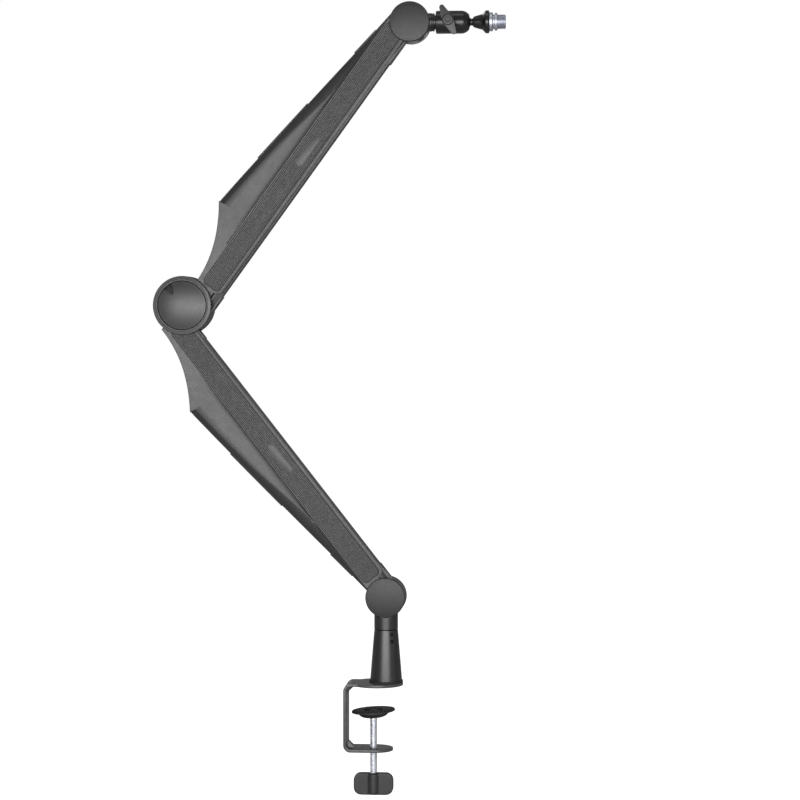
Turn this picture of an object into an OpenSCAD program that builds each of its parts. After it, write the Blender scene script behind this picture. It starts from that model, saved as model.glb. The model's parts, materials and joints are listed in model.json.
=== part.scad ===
// Desk-clamped microphone boom arm, in millimetres.
// +Z is up, +X points the way the microphone points, and -Y is the side with the tension knob.
// The origin is under the middle of the desk socket, on the face that rests on the desk.

/* [Clamp] */
// Thickness of the clamp's steel
plate_t = 3; // [2.5:0.1:4]
// Width of the clamp's steel bar
bar_w = 40; // [34:1:44]
// Clear height between the two plates
clamp_gap = 69.8; // [60:0.1:90]
// Distance of the clamp's back from the socket's axis
back_x = 46; // [45:0.5:60]
// Outer radius of the clamp's bends
bend_r = 8; // [7:0.5:12]
// Radius of the upper plate's round end
plate_end_r = 28.5; // [28:0.5:34]
// Distance of the round end's middle from the socket's axis
plate_end_back = 9.7; // [0:0.1:10]
// Reach of the pressed beads inside the bends
bead_leg = 9; // [6:0.5:10]
// Reach of the pressed beads outside the bends
bead_cut = 11; // [8:0.5:12]
// Width of the pressed beads
bead_w = 9; // [6:0.5:14]

/* [Desk screw] */
// Distance of the screw from the socket's axis, towards the clamp's back
screw_back = 14; // [12:0.5:18]
// Diameter of the screw
screw_d = 8; // [6:1:10]
// Depth of the pressure pad below the upper plate, at its rim
pad_drop = 27.5; // [20:0.5:32]
// Diameter of the pressure pad
pad_d = 48; // [40:1:56]
// Thickness of the pad's steel
pad_t = 1.6; // [1.2:0.1:2.4]
// Thickness of the pad's rubber facing
pad_face_t = 1.4; // [1:0.1:2]
// Diameter of the dish under the pad
pad_hub_d = 33.7; // [28:0.1:38]
// Depth of the dish under the pad
pad_hub_h = 6; // [5:0.5:9]
// Lean of the pad on the screw's ball end, in degrees
pad_tilt = 3.5; // [0:0.5:4]
// Length of the screw between the pad and the knob
screw_free = 61.5; // [52:0.5:80]
// Width of the knob
knob_w = 44; // [36:1:52]
// Height of the knob
knob_h = 24.5; // [20:0.5:30]
// Thickness of the knob's wings
knob_t = 8; // [6:0.5:10]
// Diameter of the knob's middle
knob_hub_d = 14; // [12:0.5:18]

/* [Desk socket] */
// Height of the tapered socket above the plate
socket_h = 58.8; // [50:0.2:70]
// Diameter of the socket at the top
socket_top_d = 26.3; // [24:0.1:30]
// Diameter of the socket at its foot
socket_foot_d = 35.4; // [32:0.2:36]
// Width of the lip round the socket's foot
lip_w = 0.9; // [0.6:0.1:1.6]
// Height of the lip
lip_h = 2.6; // [2:0.2:4]
// Diameter of the swivel spigot
spigot_d = 12; // [10:0.5:14]
// Wall of the bearing bush round the spigot
bush_wall = 2; // [1.5:0.1:3]
// Length of the spigot below the collar
spigot_h = 46; // [34:1:46]

/* [Arms] */
// Height of the base joint's middle above the desk face
base_z = 98.1; // [96:0.1:112]
// Length of each arm between its pivots
arm_len = 379.5; // [330:0.5:430]
// Direction of the lower arm seen from the base, in degrees from +X
lower_angle = 128; // [120:0.5:131]
// Direction of the upper arm seen from the elbow, in degrees from +X
upper_angle = 54; // [30:0.2:57]
// Distance between the lower arm's two pivots, side by side
lower_pin_gap = 16; // [15:0.5:17]
// Distance between the upper arm's two pivots, one above the other
upper_pin_gap = 24; // [22:0.5:25]
// Distance from the pivot line to the beam's edge on the fin's side
edge_fin = 11.9; // [11:0.1:12.4]
// Distance from the pivot line to the beam's edge on the link's side
edge_link = 16.5; // [15:0.1:17.2]
// Radius of the beam's lower corners
beam_corner_r = 8; // [5:0.5:9]
// Distance from a pivot to the start of the beam's lower corner
beam_corner_x = 11; // [10:0.5:13]
// Thickness of the beam's side walls
wall_t = 2.2; // [1.8:0.1:3]
// Thickness of the beam's spine wall
spine_t = 2; // [1.5:0.1:2.4]
// Diameter of the pivot pins
pin_d = 6; // [4:0.5:7]
// Width of the parallel link
link_w = 8; // [7:0.5:9]
// Width of the link's forked ends
link_end_w = 10; // [9.5:0.5:11]
// Wall of the link's channel
link_wall = 1.6; // [1.2:0.1:2]

/* [Side panels] */
// Width of the ribbed side panel
panel_w = 21.7; // [17:0.1:23]
// Border between the panel and the beam's edge on the fin's side
panel_border = 2.6; // [2.4:0.1:4]
// Thickness of the side panel
panel_t = 1.2; // [0.8:0.1:1.4]
// Length of the blank name plate
badge_l = 41; // [30:1:60]
// Width of the blank name plate
badge_w = 10; // [6:0.5:12]
// Distance of the name plate's middle from the elbow's pivot
badge_x = 198.5; // [150:0.5:230]

/* [Spring fins] */
// Distance of the fin's start from the elbow's pivot
fin_start = 6; // [5:0.5:24]
// Height of the fin at its start
fin_root_h = 2.4; // [1:0.1:4]
// Distance of the fin's peak from the elbow's pivot
fin_peak_x = 96; // [80:0.5:120]
// Length of the flat on the fin's peak
fin_flat = 3.5; // [2:0.5:12]
// Height of the fin's peak above the beam
fin_h = 34; // [20:0.5:40]
// Steepness of the hollow curve up to the peak
fin_hollow = 2.1; // [1.3:0.02:2.4]
// Roundness of the long slope down from the peak
fin_slope = 1.07; // [1:0.01:1.4]
// Distance of the fin's end from the far pivot
fin_tail = 3.5; // [3:0.5:20]
// Depth of the fin, front to back
fin_depth = 19; // [16:0.5:20]
// Wall of the fin
fin_wall = 2; // [1.6:0.1:2.4]
// Height of the strips along the fin's ridge
strip_h = 1; // [0.6:0.1:1.4]
// Width of the strips along the fin's ridge
strip_w = 7; // [4:0.5:7.4]
// Diameter of the balance springs
spring_d = 7.4; // [5:0.1:7.8]
// Length of the balance springs
spring_len = 130; // [90:1:160]

/* [Joint discs] */
// Diameter of the base and head caps
cap_d = 43.8; // [43:0.1:46]
// Diameter of the elbow caps
elbow_cap_d = 65; // [64:0.5:70]
// Thickness of the caps
cap_t = 5.2; // [4:0.1:7]
// Diameter of the tension knob in the elbow's front cap
tension_d = 53.7; // [46:0.1:56]
// Thickness of the tension knob
tension_t = 3; // [2:0.1:3.4]
// Thickness of the plate that carries the pivot pins
frame_t = 8; // [7:0.5:10]
// Thickness of a link's ears
ear_t = 4; // [3:0.5:5]
// Rise of the tension knob's domed face
tension_crown = 3.5; // [1.5:0.1:5]
// Distance of the finger notch's point from the knob's middle
notch_from = 16; // [12:0.5:20]
// Width of the finger notch at the knob's rim
notch_w = 15.5; // [10:0.5:18]
// Rise of the base and head caps' domed faces
cap_crown = 1.4; // [0.6:0.1:2]
// Chamfer round the caps' outer edges
cap_chamfer = 0.8; // [0.4:0.1:1.4]

/* [Head] */
// Height of the microphone's axis above the head joint's middle
axis_rise = 0.4; // [0:0.1:2]
// Diameter of the neck collar
neck_d = 20; // [17:0.5:21]
// Reach of the neck collar from the head joint's middle
neck_reach = 26.6; // [25:0.1:30]
// Diameter of the ball socket's barrel
barrel_d = 25; // [24:0.5:28]
// Length of the barrel without its dome
barrel_l = 27.6; // [25:0.1:32]
// Radius of the ball
ball_r = 9; // [8:0.1:9.6]
// Distance from the barrel's rear to the wing screw's axis
wing_x = 14.2; // [12:0.1:15]
// Tip to tip length of the wing screw
wing_span = 35; // [28:0.5:42]
// Diameter of the wing screw's middle
wing_hub_d = 13; // [11:0.1:15]
// Turn of the wings at rest, in degrees from +Z towards -X
wing_turn = 26; // [0:1:90]
// Distance from the ball's middle to the flange's face
stem_l = 28.6; // [27:0.1:34]
// Diameter of the end flange
flange_d = 25; // [22:0.5:28]
// Diameter of the lock ring
ring_d = 20.6; // [19:0.1:24]
// Thickness of the lock ring
ring_t = 4; // [3:0.1:6]
// Diameter of the microphone thread, 5/8 inch
thread_d = 15.875; // [14:0.005:17]
// Length of the microphone thread
thread_l = 9.1; // [7:0.1:14]

/* [Fits] */
// Radial clearance of a turning pin or shaft
run_fit = 0.05; // [0.02:0.01:0.1]
// Radial clearance at each link's opened pivot
open_fit = 0.3; // [0.2:0.05:0.5]
// Gap between plates that turn beside each other
side_play = 0.3; // [0.2:0.05:0.5]
// Gap between a beam's wall and the link or a cap
wall_play = 0.6; // [0.4:0.05:0.9]
// Gap round pieces that are set into a recess
seat_fit = 0.15; // [0.1:0.05:0.3]

/* [Hidden] */
$fn = 96;
eps = 0.01;

// Heights in the depth direction, as half depths from the middle plane
frame_z = frame_t / 2;
ear_z = frame_z + side_play;
link_z = ear_z + ear_t;
beam_in_z = link_z + wall_play;
beam_z = beam_in_z + wall_t;
cap_z = beam_z + wall_play;
front_z = cap_z + cap_t;

// Pivots of the beams from the middles of their joints, across and up
base_pivot = [-6.5, 8.9];
elbow_low_pivot = [-15.5, -14];
elbow_high_pivot = [21, 10];
head_pivot = [-7.4, 7.3];

// Places of the joints in the XZ plane
base_c = [0, base_z];
base_a = base_c + base_pivot;
base_b = base_a + [lower_pin_gap, 0];
elbow_a1 = base_a + arm_len * [cos(lower_angle), sin(lower_angle)];
elbow_b1 = elbow_a1 + [lower_pin_gap, 0];
elbow_c = elbow_a1 - elbow_low_pivot;
elbow_a2 = elbow_c + elbow_high_pivot;
elbow_b2 = elbow_a2 - [0, upper_pin_gap];
head_a = elbow_a2 + arm_len * [cos(upper_angle), sin(upper_angle)];
head_b = head_a - [0, upper_pin_gap];
head_c = head_a - head_pivot;
axis_z = head_c[1] + axis_rise;

// Radii of the frame plates round the pins, and the blocks that join the caps
frame_r = pin_d / 2 + 4.5;
link_boss_r = pin_d / 2 + 2;
block_margin = 1;
block_t = 6;
boss_r = 6;
elbow_web = [[0, 6], [-13, 6]];
head_web = [[10, -12], [10, 6]];

// Clamp, screw and pad
plate_top = plate_t;
lower_top = -clamp_gap;
lower_bottom = lower_top - plate_t;
lower_reach = 7.7;
lower_end_x = lower_reach - bar_w / 2;
pad_neck_r = screw_d / 2 + 1.9;
pad_facing_w = 6;
ball_end_rise = 0.3 * screw_d;
ball_end_h = 0.225 * screw_d;
ball_end_r = 0.675 * screw_d;
pad_hole_r = screw_d / 2 + 0.5;
pad_bottom = -pad_drop - pad_face_t - pad_t - pad_hub_h;
ball_end_z = pad_bottom + pad_t;
ball_end_mid = ball_end_z + ball_end_rise + ball_end_h / 2;
knob_top = pad_bottom - screw_free;
knob_corner = 8;
knob_floor = screw_d / 2;

// Socket and swivel
lip_d = socket_foot_d + 2 * lip_w;
socket_top = plate_top + socket_h;
bush_r = spigot_d / 2 + run_fit;
bush_out_r = bush_r + bush_wall;
bush_floor = 2;
bush_foot = socket_top - spigot_h - bush_floor;
grub_r = 2;
grub_l = 3.4;
grub_drop = 4.6;
grub_pitch = 7.7;
grub_turn = 32;
bolt_d = 8;
bolt_head_d = 14;
bolt_head_h = 2;
collar_mid = base_z - cap_d / 2 - 0.4;
collar_rise = cap_d / 2 - 7.8;
collar_top = base_z - collar_rise;
web_rise = block_t - 1.9 - collar_rise;
base_web = [[12, web_rise], [-5, web_rise]];

// Head
block_x = 14;
neck_end = head_c[0] + neck_reach;
waist_l = 1.6;
barrel_x = neck_end + waist_l;
barrel_end = barrel_x + barrel_l;
ball_x = barrel_end + 2.2;
dome_l = 11.65;
dome_steps = 10;
liner_t = 1.2;
liner_r = ball_r + run_fit + liner_t;
socket_r = liner_r + run_fit;
swing_r = 3.6;
swing_end_r = 12.6;
swing_l = 14;
flange_t = 4;
ring_x = ball_x + stem_l;
stud_r = 4.7;
adapter_gap = 0.3;
adapter_x = ring_x + ring_t + adapter_gap;
adapter_neck = 1.6;
adapter_flange_t = 3;
adapter_flange_d = 19.2;
adapter_l = adapter_neck + adapter_flange_t + thread_l;
neck_r = 3.85;
flare_r = [5.8, 8.4];
flare_back = [17, 7.6];
stud_seat = 8;
stud_l = adapter_x - ball_x + stud_seat;
neck_pin_d = 10;
neck_pin_l = 5;

// Wing screw
wing_shaft_d = 5;
wing_t = 5;
wing_tip_w = 5.5;
wing_neck_d = 10.4;
wing_neck_l = 8;
wing_z = barrel_d / 2 + wing_neck_l + 1.4;

// Cap screws, and places from the joints' middles
screw_r = 1.5;
screw_head_r = 2.8;
screw_l = 10;
screw_rise = 2.1;
screw_inset = 8.5;
base_screw_at = [for (s = [-1, 1]) [9 * s, screw_rise - collar_rise]];
elbow_screw_at = [[-3, elbow_cap_d / 2 - screw_inset], [screw_inset - elbow_cap_d / 2, 8]];
head_screw_at = [for (s = [1, -1]) [block_x - block_t / 2, s * (cap_d / 4)]];
base_pin_at = [base_a - base_c, base_b - base_c];
elbow_long_pins = [elbow_a1 - elbow_c, elbow_a2 - elbow_c];
elbow_short_pins = [elbow_b1 - elbow_c, elbow_b2 - elbow_c];
head_pin_at = [head_a - head_c, head_b - head_c];
screw_sink = 1.2;
screw_head_h = 2;
screw_tip_play = 1;
cap_face_z = front_z - cap_crown;
crown_steps = 6;
tension_z = front_z - tension_t;
knob_sink = 0.8;
knob_rim_z = front_z - knob_sink;
knob_edge = 0.6;
notch_turn = 135;
notch_depth = 1.4;

// Fin, strips, springs and link, along the arm from the elbow's pivot
ridge_z = fin_depth / 2 - 5.5;
shoulder_z = fin_depth / 2 - 2.5;
ridge_drop = 5;
shoulder_drop = 2;
strip_spans = [[0.421, 0.634], [0.832, 0.921]];
spring_pin_r = 2;
spring_x = 40;
spring_y = 3.5;
fork_l = 24;
fork_end = fork_l + 8;

// Placing helpers: flat shapes drawn in XY stand up into the XZ plane, with local +Z to the front
module stand(p, a = 0) translate([p[0], 0, p[1]]) rotate([90, 0, 0]) rotate([0, 0, a]) children();
module on_upper(p) stand(p, upper_angle) children();
module on_lower(p) stand(p, lower_angle + 180) mirror([0, 1, 0]) children();
module slab(h) linear_extrude(h, center = true) children();
module layer(z0, z1) translate([0, 0, z0]) linear_extrude(z1 - z0) children();
module along_x(x, z) translate([x, 0, z]) rotate([0, 90, 0]) children();
module both_sides() {
    children();
    mirror([0, 0, 1]) children();
}

// Flat shapes
module disc(p, r) translate(p) circle(r);
module web(p, q, w) {
    d = q - p;
    translate(p) rotate(atan2(d[1], d[0])) translate([0, -w / 2]) square([norm(d), w]);
}
module round_slab(x0, y0, x1, y1, r) {
    translate([x0 + r, y0]) square([x1 - x0 - 2 * r, y1 - y0]);
    translate([x0, y0 + r]) square([x1 - x0, y1 - y0 - 2 * r]);
    for (x = [x0 + r, x1 - r], y = [y0 + r, y1 - r]) disc([x, y], r);
}
module pill(l, w) {
    square([l - w, w], center = true);
    for (s = [-1, 1]) disc([s * (l - w) / 2, 0], w / 2);
}

// Clamp
module c_profile() {
    difference() {
        round_slab(-back_x, lower_bottom, bar_w, plate_top, bend_r);
        round_slab(plate_t - back_x, lower_top, 2 * bar_w, 0, bend_r - plate_t);
        translate([0, lower_bottom - eps]) square([2 * bar_w, clamp_gap + 3 * plate_t]);
        translate([lower_end_x, lower_bottom - eps]) square([bar_w, plate_t + 1]);
    }
}
module bead(x, z, up, leg) translate([x, z])
    polygon([[-eps, -up * eps], [leg, -up * eps], [-eps, up * leg]]);
module clamp_bracket() color("dimgray") difference() {
    union() {
        rotate([90, 0, 0]) slab(bar_w) c_profile();
        rotate([90, 0, 0]) slab(bead_w) {
            bead(plate_t - back_x, 0, -1, bead_leg);
            bead(plate_t - back_x, lower_top, 1, bead_leg);
        }
        translate([-plate_end_back, 0, 0]) cylinder(r = plate_end_r, h = plate_top);
        translate([lower_end_x, 0, lower_bottom]) cylinder(d = bar_w, h = plate_t);
    }
    translate([0, 0, -eps]) cylinder(d = bolt_d + 2 * seat_fit, h = plate_t + 1);
    translate([0, 0, -eps]) cylinder(d = bolt_head_d + 2 * seat_fit, h = bolt_head_h + eps);
    translate([-screw_back, 0, lower_bottom - eps])
        cylinder(d = screw_d + 2 * run_fit, h = plate_t + 1);
    rotate([90, 0, 0]) slab(bead_w - plate_t) {
        bead(-back_x, plate_top, -1, bead_cut);
        bead(-back_x, lower_bottom, 1, bead_cut);
    }
}

// Socket fixed on the upper plate
module socket_lip() color("black") translate([0, 0, plate_top]) difference() {
    cylinder(d = lip_d, h = lip_h);
    translate([0, 0, -eps]) cylinder(d = socket_foot_d + 2 * seat_fit, h = lip_h + 1);
}
module desk_socket() color("#202020") difference() {
    union() {
        translate([0, 0, plate_top]) cylinder(d = socket_foot_d, h = lip_h);
        translate([0, 0, plate_top + lip_h])
            cylinder(d1 = socket_foot_d, d2 = socket_top_d, h = socket_h - lip_h);
    }
    translate([0, 0, bush_foot]) cylinder(r = bush_out_r, h = socket_h);
    translate([0, 0, -1]) cylinder(d = bolt_d, h = bush_foot + 2);
    for (s = [0, 1]) grub_place(s) cylinder(r = grub_r, h = socket_foot_d);
}
module grub_place(s) translate([0, 0, socket_top - grub_drop - grub_pitch * s])
    rotate([90, 0, grub_turn]) children();
module grub_screws() color("gray") for (s = [0, 1]) grub_place(s)
    translate([0, 0, bush_out_r]) difference() {
        cylinder(r = grub_r, h = grub_l);
        translate([0, 0, grub_l - 1.4]) cylinder(r = grub_r / 2, h = 2, $fn = 6);
    }
module socket_bush() color("lightgray") translate([0, 0, bush_foot]) difference() {
    cylinder(r = bush_out_r, h = socket_top - bush_foot);
    translate([0, 0, bush_floor]) cylinder(r = bush_r, h = socket_h);
}
module socket_bolt() color("silver") {
    cylinder(d = bolt_head_d, h = bolt_head_h);
    cylinder(d = bolt_d, h = bush_foot);
}

// Pressure pad, leaning on the screw's ball end
module pad_place() translate([-screw_back, 0, ball_end_mid]) rotate([0, -pad_tilt, 0])
    translate([0, 0, -pad_drop - ball_end_mid]) children();
module pad_facing() color("black") pad_place() difference() {
    translate([0, 0, -pad_face_t]) cylinder(d = pad_d, h = pad_face_t);
    translate([0, 0, -pad_face_t - eps]) cylinder(r = pad_hub_d / 2 - pad_facing_w, h = pad_face_t + 1);
}
module pad_plate() color("#181818") pad_place() translate([0, 0, -pad_face_t]) {
    difference() {
        union() {
            translate([0, 0, -pad_t]) cylinder(d = pad_d, h = pad_t);
            translate([0, 0, -pad_t - pad_hub_h])
                cylinder(r1 = pad_neck_r, r2 = pad_hub_d / 2, h = pad_hub_h);
        }
        translate([0, 0, -pad_hub_h])
            cylinder(r1 = pad_neck_r + 0.6, r2 = pad_hub_d / 2 - 1, h = pad_hub_h + eps);
        translate([0, 0, -pad_hub_h - pad_t - eps])
            cylinder(r = pad_hole_r, h = pad_t + 1);
    }
}
module pad_retainer() color("silver") pad_place()
    translate([0, 0, -pad_face_t - pad_hub_h]) difference() {
        cylinder(r = pad_neck_r, h = pad_t);
        translate([0, 0, -eps]) cylinder(r = pad_hole_r, h = pad_t + 1);
    }

// Screw and its knob
module clamp_screw() color("silver") translate([-screw_back, 0, 0]) {
    translate([0, 0, knob_top - knob_h + knob_floor])
        cylinder(d = screw_d, h = ball_end_z + ball_end_rise - knob_top + knob_h - knob_floor);
    translate([0, 0, ball_end_z + ball_end_rise]) cylinder(r = ball_end_r, h = ball_end_h);
}
module clamp_knob() color("#3a3a3a") translate([-screw_back, 0, knob_top - knob_h]) difference() {
    union() {
        rotate([90, 0, 0]) slab(knob_t) round_slab(-knob_w / 2, 0, knob_w / 2, knob_h, knob_corner);
        cylinder(d = knob_hub_d, h = knob_h);
    }
    translate([0, 0, knob_floor]) cylinder(d = screw_d, h = knob_h);
}

// Swivelling base
module swivel_spigot() color("silver") translate([0, 0, socket_top - spigot_h + side_play])
    cylinder(d = spigot_d, h = spigot_h - side_play + (collar_mid - socket_top) / 2);
module base_collar() color("#202020") difference() {
    translate([0, 0, socket_top + side_play])
        cylinder(d = socket_top_d, h = collar_top - socket_top - side_play);
    translate([0, 0, socket_top])
        cylinder(d = spigot_d, h = (collar_mid - socket_top) / 2);
    for (s = [-1, 1]) translate([-socket_top_d, s * (cap_z + socket_top_d / 2) - socket_top_d / 2,
        collar_mid]) cube([2 * socket_top_d, socket_top_d, socket_top_d]);
}
module pin_bores(pins) for (p = pins) translate(p) cylinder(d = pin_d, h = 4 * front_z, center = true);
module pin_set(long_pins, short_pins) {
    for (p = long_pins) translate(p) cylinder(d = pin_d, h = 2 * beam_z, center = true);
    for (p = short_pins) translate(p) cylinder(d = pin_d, h = 2 * link_z, center = true);
}
module base_block() intersection() {
    circle(d = cap_d - 2 * block_margin);
    translate([-cap_d / 2, collar_top - base_z]) square([cap_d, block_t]);
}
module base_frame() color("#202020") stand(base_c) difference() {
    union() {
        slab(2 * cap_z) base_block();
        slab(frame_t) {
            disc(base_pin_at[0], frame_r);
            disc(base_pin_at[1], link_boss_r);
            polygon([base_pin_at[0], base_pin_at[1], base_web[0], base_web[1]]);
            web(base_pin_at[0], base_pin_at[1], 2 * link_boss_r);
        }
    }
    pin_bores(base_pin_at);
    screw_bores(base_screw_at);
}
module base_pins() color("silver") stand(base_c) pin_set([base_pin_at[0]], [base_pin_at[1]]);

// Caps, with screws from the back
module screw_bores(at) for (p = at) translate([p[0], p[1], -cap_z - eps])
    cylinder(r = screw_r, h = screw_l - cap_t + screw_sink + screw_tip_play);
module cap_screws(at) for (p = at) translate([p[0], p[1], screw_sink - front_z]) difference() {
    union() {
        cylinder(r = screw_head_r, h = screw_head_h);
        cylinder(r = screw_r, h = screw_l);
    }
    translate([0, 0, -eps]) cylinder(r = 1.4, h = 1.2, $fn = 6);
}
function crown_points(r, z, rise) = [for (i = [crown_steps - 1:-1:0])
    [r * i / crown_steps, z + rise * (1 - pow(i / crown_steps, 2))]];
module cap_blank(d, face_z, face) rotate_extrude() polygon(concat([[0, cap_z], [d / 2, cap_z],
    [d / 2, face_z - cap_chamfer], [d / 2 - cap_chamfer, face_z]], face));
module domed_cap() cap_blank(cap_d, cap_face_z,
    crown_points(cap_d / 2 - cap_chamfer, cap_face_z, cap_crown));
module elbow_cap() cap_blank(elbow_cap_d, front_z, [[0, front_z]]);
module back_cap(at) mirror([0, 0, 1]) difference() {
    children();
    for (p = at) translate([p[0], p[1], 0]) {
        cylinder(r = screw_r, h = 2 * front_z);
        translate([0, 0, front_z - screw_sink - screw_head_h])
            cylinder(r = screw_head_r + seat_fit, h = cap_t);
    }
}
module base_front_cap() color("#484848") stand(base_c) domed_cap();
module base_back_cap() color("#484848") stand(base_c) back_cap(base_screw_at) domed_cap();
module base_screws() color("silver") stand(base_c) cap_screws(base_screw_at);

// Beam: a channel that is open on the link's side, seen along x from the elbow's pivot
corner_x = beam_corner_x + beam_corner_r;
corner_y = beam_corner_r - edge_link;
module beam_outline() {
    for (x = [0, arm_len]) intersection() {
        disc([x, 0], edge_fin);
        translate([x - edge_fin, corner_y]) square([2 * edge_fin, edge_fin - corner_y]);
    }
    translate([0, corner_y]) square([arm_len, edge_fin - corner_y]);
    translate([corner_x, -edge_link]) square([arm_len - 2 * corner_x, edge_link]);
    for (x = [corner_x, arm_len - corner_x]) disc([x, corner_y], beam_corner_r);
}
panel_y0 = edge_fin - panel_border - panel_w;
panel_y1 = edge_fin - panel_border;
panel_x0 = beam_corner_x + 3;
module panel_outline(shrink) round_slab(panel_x0 + shrink, panel_y0 + shrink,
    arm_len - panel_x0 - shrink, panel_y1 - shrink, beam_corner_r - 3.5 - shrink);
module beam() difference() {
    slab(2 * beam_z) beam_outline();
    slab(2 * beam_in_z) translate([-arm_len / 4, -3 * edge_link])
        square([1.5 * arm_len, edge_fin - spine_t + 3 * edge_link]);
    for (x = [0, arm_len]) translate([x, 0, 0])
        cylinder(d = pin_d + 2 * run_fit, h = 4 * beam_z, center = true);
    both_sides() layer(beam_z - panel_t, beam_z + 1) panel_outline(0);
}
module side_panels() both_sides() layer(beam_z - panel_t, beam_z) difference() {
    panel_outline(seat_fit);
    translate([badge_x, (panel_y0 + panel_y1) / 2]) pill(badge_l, badge_w);
}
module name_plates() both_sides() layer(beam_z - panel_t, beam_z)
    translate([badge_x, (panel_y0 + panel_y1) / 2])
        pill(badge_l - 2 * seat_fit, badge_w - 2 * seat_fit);

// Fin over the balance springs: a hollow curve up to the peak and a long slope down
fin_end = arm_len - fin_tail;
fin_top_x = fin_peak_x + fin_flat;
fin_steps = 10;
function fin_rise(t) = fin_root_h + (fin_h - fin_root_h) * pow(t, fin_hollow);
function fin_fall(t) = fin_h * (1 - pow(t, fin_slope));
fin_curve = concat(
    [for (i = [0:fin_steps]) let(t = i / fin_steps)
        [fin_start + t * (fin_peak_x - fin_start), fin_rise(t)]],
    [for (i = [0:fin_steps]) let(t = i / fin_steps)
        [fin_top_x + t * (fin_end - fin_top_x), fin_fall(t)]]);
module fin_section(drop) intersection() {
    translate([fin_start, edge_fin]) square([fin_end - fin_start, 2 * fin_h]);
    polygon(concat([[fin_start, -fin_h]], [for (p = fin_curve) [p[0], edge_fin + p[1] - drop]],
        [[fin_end, -fin_h]]));
}
module fin() difference() {
    union() {
        slab(fin_depth) fin_section(ridge_drop);
        slab(2 * shoulder_z) fin_section(shoulder_drop);
        slab(2 * ridge_z) fin_section(0);
    }
    slab(fin_depth - 2 * fin_wall) translate([0, -eps]) intersection() {
        fin_section(ridge_drop + fin_wall);
        translate([fin_start + fin_wall, 0]) square([arm_len, 4 * fin_h]);
    }
}
module ridge_strips() slab(strip_w) for (s = strip_spans) intersection() {
    difference() {
        fin_section(-strip_h);
        fin_section(0);
    }
    translate([s[0] * arm_len, 0]) square([(s[1] - s[0]) * arm_len, 3 * fin_h]);
}
module springs() for (s = [-1, 1]) translate([spring_x, spring_y, s * spring_d * 0.59])
    rotate([0, 90, 0]) cylinder(d = spring_d, h = spring_len);
module spring_pins() for (x = [spring_x - spring_pin_r, spring_x + spring_len + spring_pin_r])
    translate([x, spring_y, 0]) cylinder(r = spring_pin_r, h = 2 * beam_in_z, center = true);

// Parallel link: forked ends round the frame plates and a channel between them
module link_outline() {
    for (x = [0, arm_len]) disc([x, 0], link_end_w / 2);
    translate([0, -link_end_w / 2]) square([fork_end, link_end_w]);
    translate([arm_len - fork_end, -link_end_w / 2]) square([fork_end, link_end_w]);
    translate([0, -link_w / 2]) square([arm_len, link_w]);
}
module link(near_fit, far_fit) difference() {
    slab(2 * link_z) link_outline();
    for (x = [-link_end_w, arm_len - fork_l]) translate([x, 0])
        slab(2 * ear_z) translate([0, -link_end_w]) square([fork_l + link_end_w, 2 * link_end_w]);
    slab(2 * (link_z - link_wall)) translate([fork_end, link_wall - link_w / 2])
        square([arm_len - 2 * fork_end, link_end_w]);
    cylinder(d = pin_d + 2 * near_fit, h = 4 * link_z, center = true);
    translate([arm_len, 0, 0]) cylinder(d = pin_d + 2 * far_fit, h = 4 * link_z, center = true);
}

module lower_beam() color("#404040") on_lower(elbow_a1) beam();
module lower_side_panels() color("#585858") on_lower(elbow_a1) side_panels();
module lower_name_plates() color("#707070") on_lower(elbow_a1) name_plates();
module lower_fin() color("#606060") on_lower(elbow_a1) fin();
module lower_ridge_strips() color("#282828") on_lower(elbow_a1) ridge_strips();
module lower_springs() color("silver") on_lower(elbow_a1) springs();
module lower_spring_pins() color("gray") on_lower(elbow_a1) spring_pins();
module lower_link() color("#303030") on_lower(elbow_b1) link(open_fit, run_fit);

// Elbow
module elbow_block() intersection() {
    circle(d = elbow_cap_d - 4 * block_margin);
    translate([3 - elbow_cap_d, 1.5]) square(elbow_cap_d);
}
module elbow_frame() color("#202020") stand(elbow_c) difference() {
    union() {
        slab(2 * cap_z) {
            elbow_block();
            circle(boss_r);
        }
        slab(frame_t) {
            for (p = elbow_long_pins) disc(p, frame_r);
            for (p = elbow_short_pins) disc(p, link_boss_r);
            polygon([elbow_long_pins[0], elbow_short_pins[0], elbow_short_pins[1],
                elbow_long_pins[1], elbow_web[0], elbow_web[1]]);
            web(elbow_long_pins[0], elbow_short_pins[0], 2 * link_boss_r);
            web(elbow_short_pins[0], elbow_short_pins[1], 2 * link_boss_r);
            web(elbow_short_pins[1], elbow_long_pins[1], 2 * link_boss_r);
        }
    }
    pin_bores(concat(elbow_long_pins, elbow_short_pins));
    screw_bores(elbow_screw_at);
    translate([0, 0, -frame_z]) cylinder(d = pin_d + 2 * run_fit, h = 2 * front_z);
}
module elbow_pins() color("silver") stand(elbow_c) pin_set(elbow_long_pins, elbow_short_pins);
module elbow_bezel() color("#505050") stand(elbow_c) difference() {
    elbow_cap();
    translate([0, 0, tension_z - side_play]) cylinder(d = tension_d + 2 * side_play, h = cap_t);
    cylinder(d = pin_d + 2 * run_fit, h = 2 * front_z);
}
module elbow_back_cap() color("#484848") stand(elbow_c) back_cap(elbow_screw_at) elbow_cap();
module elbow_screws() color("silver") stand(elbow_c) cap_screws(elbow_screw_at);

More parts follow.
